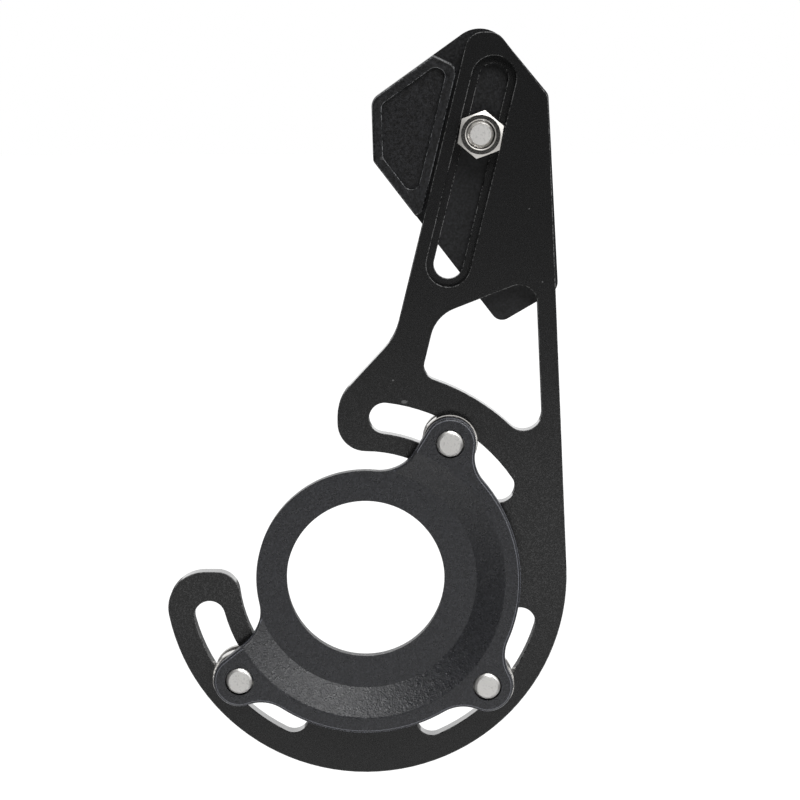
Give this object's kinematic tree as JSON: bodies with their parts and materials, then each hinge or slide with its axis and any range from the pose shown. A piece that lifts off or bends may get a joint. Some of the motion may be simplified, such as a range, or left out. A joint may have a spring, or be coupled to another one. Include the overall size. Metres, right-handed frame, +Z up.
{
  "type": "bicycle chain guide",
  "caption": "Bicycle chain guide: a slotted back plate turns on a bottom bracket ring adapter and carries a sliding moulded guide that keeps the chain on the chainring.",
  "frame": {"origin": "crank axis, at the ring face that seats on the bottom bracket shell", "axes": "+X to the rear of the bicycle, +Y outboard along the crank axis, +Z up"},
  "size_m": [0.0901, 0.0267, 0.1682],
  "materials": {
    "adapter_black": "black coat with a fine orange peel",
    "plate_black": "black anodised over a blasted surface",
    "nylon_black": "moulded with a fine texture",
    "bright_steel": "zinc plated"
  },
  "bodies": {
    "adapter": {"bb_adapter": "adapter_black", "adapter_screws": "bright_steel", "spacer_rings": "bright_steel"},
    "plate": {"back_plate": "plate_black"},
    "guide": {"guide_inner": "nylon_black", "guide_outer": "nylon_black", "guide_bolt": "bright_steel", "guide_nut": "bright_steel"}
  },
  "joints": [
    {"name": "plate_swing", "type": "hinge", "parent": "adapter", "child": "plate", "pos_m": [0, 0, 0], "axis": [0, 1, 0], "range_deg": [-24, 24]},
    {"name": "guide_slide", "type": "slide", "parent": "plate", "child": "guide", "axis": [0.2343, 0, 0.9722], "range_m": [-0.02, 0.01]}
  ]
}
